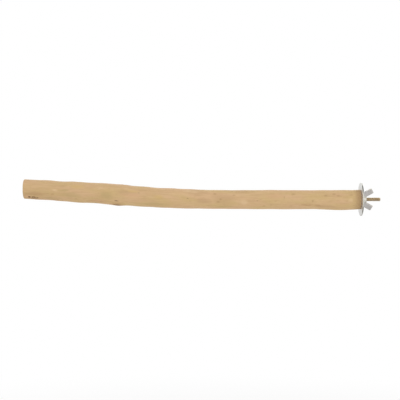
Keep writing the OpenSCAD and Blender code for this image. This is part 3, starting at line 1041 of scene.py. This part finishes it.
# Washers
washer = {
    "hole": 2.75 * mm,
    "segments": 192,
    "faceRings": 18,
    "edgeSteps": 6,
    "rollOver": 0.25 * mm,   # rounded by the punch on the side that it enters
    "burr": 0.07 * mm,       # nearly sharp on the side that it leaves
    "parting": 0.004 * mm,   # keeps the faces of the two from lying in one plane
    "shearedReach": 0.1 * mm,
    "finish": {
        "Dark": srgb(210, 211, 208), "Light": srgb(226, 226, 224), "Worn": srgb(194, 192, 183),
        "Bloom": srgb(210, 209, 213), "Bloom Share": 0.3, "Rough Low": 0.34, "Rough High": 0.48,
        "Grain Size": 1.1 * mm},
    "metallic": 0.82,
    # dark reflections painted on the sheared rim, two in front above and below and one behind: middle,
    # half size and strength
    "paintedReflections": [((0, -17 * mm, 14.2 * mm), (4 * mm, 8 * mm, 6.4 * mm), 1),
               ((0, -17 * mm, -14.5 * mm), (4 * mm, 8 * mm, 6.2 * mm), 0.8),
               ((0, 20 * mm, 9 * mm), (4 * mm, 8 * mm, 9 * mm), 0.65)],
    "reflectionTone": srgb(84, 84, 70),
}


def makeWasher(name, node, outward, material):
    low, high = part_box(node)
    rim, hole, rings = high.y, washer["hole"], washer["faceRings"]
    burr, roll = washer["burr"], washer["rollOver"]
    near, far = (low.x, high.x) if outward > 0 else (high.x, low.x)
    near += outward * washer["parting"]
    away = 1 if far > near else -1

    def faceRing(start, ring):
        # the radius of a ring on a face that starts so far in from both edges
        return hole + start + (rim - hole - 2 * start) * ring / rings

    corner = near + away * burr * 0.3
    profile = [(near + away * burr, hole), (corner, hole + burr * 0.3), (near, hole + burr)]
    profile += [(near, faceRing(burr, ring)) for ring in range(1, rings)]
    profile += [(near, rim - burr), (corner, rim - burr * 0.3), (near + away * burr, rim)]
    quarter = [turn / 4 * step / washer["edgeSteps"] for step in range(washer["edgeSteps"] + 1)]
    profile += [(far - away * roll * (1 - math.sin(a)), rim - roll * (1 - math.cos(a))) for a in quarter]
    profile += [(far, faceRing(roll, ring)) for ring in range(rings - 1, 0, -1)]
    profile += [(far - away * roll * (1 - math.cos(a)), hole + roll * (1 - math.sin(a))) for a in quarter]
    piece = cleaned(addObject(name, lathed(name, profile, washer["segments"])))
    # the sheared rim and the hole's wall are darker than the faces, and the painted dark reflections lie
    # only there
    radii = np.hypot(*vertexPlaces(piece.data).T[1:])
    fromEdge = np.minimum(rim - radii, radii - hole)
    setNumbers(piece.data, "rim", np.maximum(0, 1 - fromEdge / washer["shearedReach"]))
    return painted(piece, material)


washerZinc = platedMaterial("washerZinc", washer, "rim")
for name, node, body, outward in (("innerPlate", "inner_washer", "inner_washer", -1),
                                  ("outerPlate", "outer_washer", "outer_washer", 1)):
    plate = makeWasher(name, node, outward, washerZinc)
    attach(plate, body)
    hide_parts(node)
print("washers made")


# Wing nut
nutLow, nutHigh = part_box("wing_nut")
nut = {
    "foot": nutLow.x,
    "height": nutHigh.x - nutLow.x,
    "span": 31 * mm,
    "wingWidth": 7.6 * mm,
    "slant": 29,
    "rootThickness": 3 * mm,
    "tipThickness": 1.9 * mm,
    "wingTurn": 18,
    "footRadius": 6 * mm,
    "topRadius": 4.4 * mm,
    "hubHeight": 6.4 * mm,
    "hubSides": 96,
    "footEdge": 0.2 * mm,
    "bevelDown": 0.35 * mm,
    "bevelIn": 0.3 * mm,
    "bevelOut": 0.08 * mm,   # how much wider the hub is where the bevel at its top begins
    "countersink": 0.3 * mm,
    # a highlight painted on the hub's cone: how strong, and how far from the cone it reaches
    "hubHighlight": 0.7,
    "highlightReach": 0.6 * mm,
    "wornBend": 0.12,        # edges that bend more than this over a millimetre begin to be worn
    "wornRange": 0.35,
    "play": 0.1 * mm,
    "voxel": 0.2 * mm,
    "filletReach": 2.2 * mm, # how far from the hub's side the joins are smoothed
    "filletSteps": 14,
    "smoothSteps": 2,
    "footSpare": 0.8 * mm,   # faced off at the end
    "tapSpare": 1 * mm,
    "finish": {
        "Dark": srgb(170, 166, 165), "Light": srgb(190, 186, 186), "Worn": srgb(217, 213, 198),
        "Bloom": srgb(186, 184, 174), "Bloom Share": 0.3, "Rough Low": 0.3, "Rough High": 0.48,
        "Grain Size": 0.9 * mm},
    "metallic": 1,
}


def hubRadius(x):
    share = (x - nut["foot"]) / nut["hubHeight"]
    return nut["footRadius"] + share * (nut["topRadius"] - nut["footRadius"])


def wingMesh(degrees):
    # the wing's outline, walked round with a rounded section that thins towards the tip
    across = nut["wingWidth"] - nut["tipThickness"]
    slant = math.radians(nut["slant"])
    half, rootHalf = nut["tipThickness"] / 2, nut["rootThickness"] / 2
    tipIn = Vector((nut["span"] / 2 - half - across * math.cos(slant), nut["height"] - half))
    tipOut = tipIn + across * Vector((math.cos(slant), -math.sin(slant)))
    rootOut = Vector((nut["footRadius"] + rootHalf * 4 / 3, rootHalf))
    rootIn = Vector((nut["topRadius"], nut["hubHeight"] - 1.5 * rootHalf))
    mesh = bmesh.new()
    for centre, ball in ((tipOut, half), (tipIn, half), (rootOut, rootHalf), (rootIn, rootHalf)):
        made = bmesh.ops.create_uvsphere(mesh, u_segments=32, v_segments=16, radius=ball)
        bmesh.ops.translate(mesh, verts=made["verts"], vec=(nut["foot"] + centre.y, 0, -centre.x))
    hull = bmesh.ops.convex_hull(mesh, input=mesh.verts)
    bmesh.ops.delete(mesh, geom=hull["geom_interior"] + hull["geom_unused"], context="VERTS")
    turning = Matrix.Rotation(math.radians(degrees), 3, "X")
    bmesh.ops.rotate(mesh, verts=mesh.verts, cent=(0, 0, 0), matrix=turning)
    wing = bpy.data.meshes.new("wing")
    mesh.to_mesh(wing)
    mesh.free()
    return wing


def smoothJoins(piece):
    # the joins of hub and wings become fillets, and the rest loses the voxels' steps
    joins = piece.vertex_groups.new(name="joins")
    everywhere = piece.vertex_groups.new(name="everywhere")
    for vertex in piece.data.vertices:
        x, radius = vertex.co.x, vertex.co.yz.length
        aboveFoot = max(0, min(1, (x - nut["foot"]) / mm))
        near = max(0, 1 - abs(radius - hubRadius(x)) / nut["filletReach"]) * aboveFoot
        joins.add([vertex.index], near, "REPLACE")
        everywhere.add([vertex.index], 1, "REPLACE")
    for group, steps in ((joins, nut["filletSteps"]), (everywhere, nut["smoothSteps"])):
        smooth = piece.modifiers.new(group.name, "SMOOTH")
        smooth.factor = 0.5
        smooth.iterations = steps
        smooth.vertex_group = group.name
    finished(piece)


def faceFoot(piece):
    # cuts the foot off flat and closes it
    mesh = bmesh.new()
    mesh.from_mesh(piece.data)
    cut = bmesh.ops.bisect_plane(
        mesh, geom=mesh.verts[:] + mesh.edges[:] + mesh.faces[:], plane_co=(nut["foot"], 0, 0),
        plane_no=(-1, 0, 0), clear_outer=True)
    rim = [e for e in cut["geom_cut"] if isinstance(e, bmesh.types.BMEdge)]
    bmesh.ops.edgenet_fill(mesh, edges=rim)
    bmesh.ops.recalc_face_normals(mesh, faces=mesh.faces)
    mesh.to_mesh(piece.data)
    mesh.free()


def markEdges(mesh):
    # how far each vertex stands proud of its neighbours, as a number for the worn edges and the painted
    # highlight on the hub
    count = len(mesh.vertices)
    places = vertexPlaces(mesh)
    normals = np.empty(count * 3)
    mesh.vertices.foreach_get("normal", normals)
    ends = np.empty(len(mesh.edges) * 2, int)
    mesh.edges.foreach_get("vertices", ends)
    normals, ends = normals.reshape(-1, 3), ends.reshape(-1, 2)
    bends, uses = np.zeros(count), np.zeros(count)
    for a, b in ((0, 1), (1, 0)):
        step = places[ends[:, b]] - places[ends[:, a]]
        length = np.linalg.norm(step, axis=1) + 1e-9
        bend = -(step * normals[ends[:, a]]).sum(axis=1) / length ** 2
        np.add.at(bends, ends[:, a], bend)
        np.add.at(uses, ends[:, a], 1)
    bends /= np.maximum(uses, 1)
    worn = np.clip((bends * mm - nut["wornBend"]) / nut["wornRange"], 0, 1)
    # a highlight is painted on the hub's cone, as bright as the worn edges
    offHub = np.linalg.norm(places[:, 1:], axis=1) - hubRadius(places[:, 0])
    turned = np.clip(1 - offHub / nut["highlightReach"], 0, 1) * nut["hubHighlight"]
    setNumbers(mesh, "edge", np.maximum(worn, turned))


def makeNut(material):
    foot, top, spare = nut["foot"], nut["foot"] + nut["hubHeight"], nut["tapSpare"]
    footRadius, topRadius = nut["footRadius"], nut["topRadius"]
    body = bmesh.new()
    body.from_mesh(lathed("hub", [
        (foot - nut["footSpare"], 0), (foot - nut["footSpare"], footRadius),
        (foot + nut["footEdge"], footRadius), (top - nut["bevelDown"], topRadius + nut["bevelOut"]),
        (top, topRadius - nut["bevelIn"]), (top, 0)], nut["hubSides"]))
    for side in (0, 180):
        body.from_mesh(wingMesh(side + nut["wingTurn"]))
    shape = bpy.data.meshes.new("wingedNut")
    body.to_mesh(shape)
    body.free()
    piece = addObject("wingedNut", shape)
    # one skin over hub and wings
    remesh = piece.modifiers.new("remesh", "REMESH")
    remesh.mode = "VOXEL"
    remesh.voxel_size = nut["voxel"]
    finished(piece)
    smoothJoins(piece)
    faceFoot(piece)
    # the thread is tapped through
    mouth = bolt["crest"] + nut["countersink"] + spare
    tap = makeThread("tap", machineTree, {
        "Pitch": bolt["pitch"], "Root Radius": bolt["root"] + nut["play"],
        "Crest Radius": bolt["crest"] + nut["play"], "From": foot - spare, "To": top + spare,
        "From Radius": mouth, "To Radius": mouth, "Flare": 1.0, "Material": material})
    combine(piece, tap, "DIFFERENCE")
    painted(piece, material)
    markEdges(piece.data)
    return piece


wingedNut = makeNut(platedMaterial("nutZinc", nut, "edge"))
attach(wingedNut, "wing_nut")
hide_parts("wing_nut")
print("wing nut made,", len(wingedNut.data.polygons), "faces")


# Studio: a white surround, a pale floor that keeps the shadow, and soft lamps
studio = {
    "floorDrop": 0.4,
    "floorReach": 3.0,
    "floorPaper": ((0.95, 0.95, 0.95, 1), (0.97, 0.97, 0.97, 1)),
    "floorFade": (0.3, 1),   # how far out the floor turns into the surround
    "worldLevel": 0.74,
    "lamps": [
        # name, place, size, power in watts
        ("keyLamp", (-0.7, -1.2, 1.5), 2.0, 10.5),
        ("fillLamp", (0.9, -1.5, 0), 1.6, 4.5),
        ("backLamp", (-0.2, 1.4, 1.0), 1.6, 5)],
}
white = (1, 1, 1, 1)
middleX = (cadBox[0].x + cadBox[1].x) / 2


def seenDirectly():
    # 1 for the camera and for what shows in metal, 0 for light that falls on the object
    rays = newNode("ShaderNodeLightPath").outputs
    return least(total(rays["Is Camera Ray"], rays["Is Glossy Ray"], rays["Is Transmission Ray"]), 1)


def makeWorld():
    world = bpy.data.worlds.new("surround")
    bpy.context.scene.world = world
    world.use_nodes = True
    startTree(world.node_tree)
    level = spread(seenDirectly(), 0, 1, studio["worldLevel"], 1.0, smooth=False)
    light = out("ShaderNodeBackground", {"Color": white, "Strength": level})
    newNode("ShaderNodeOutputWorld", {"Surface": light})


def makeFloor():
    reach, down = studio["floorReach"], -studio["floorDrop"]
    low, high = middleX - reach, middleX + reach
    mesh = bpy.data.meshes.new("floor")
    mesh.from_pydata([(low, -reach, down), (high, -reach, down), (high, reach, down), (low, reach, down)],
                     [], [(0, 1, 2, 3)])
    material, place = newMaterial("floorPaint"), objectPlace()
    paper = mix(noise(place, 60, 2), *studio["floorPaper"])
    paint = out("ShaderNodeBsdfDiffuse", {"Color": paper})
    glow = out("ShaderNodeEmission", {"Color": white, "Strength": 1.0})
    x, y, z = parts(place)
    outer = spread(distance(minus(x, middleX), y), *studio["floorFade"])
    # away from the object the floor is as white as the surround, and a camera under it looks through it
    both = out("ShaderNodeMixShader", {0: times(seenDirectly(), outer), 1: paint, 2: glow})
    under = times(newNode("ShaderNodeLightPath").outputs["Is Camera Ray"],
                  newNode("ShaderNodeNewGeometry").outputs["Backfacing"])
    clear = out("ShaderNodeBsdfTransparent")
    surface = out("ShaderNodeMixShader", {0: under, 1: both, 2: clear})
    newNode("ShaderNodeOutputMaterial", {"Surface": surface})
    mesh.materials.append(material)
    floor = addObject("floor", mesh)


def makeLamps():
    aim = Vector((middleX, 0, 0))
    for name, place, size, power in studio["lamps"]:
        data = bpy.data.lights.new(name, "AREA")
        data.shape = "DISK"
        data.size = size
        data.energy = power
        lamp = addObject(name, data)
        lamp.location = aim + Vector(place)
        lamp.rotation_euler = (aim - lamp.location).to_track_quat("-Z", "Y").to_euler()


makeWorld()
makeFloor()
makeLamps()
bpy.context.scene.view_settings.view_transform = "Standard"
print("studio made")
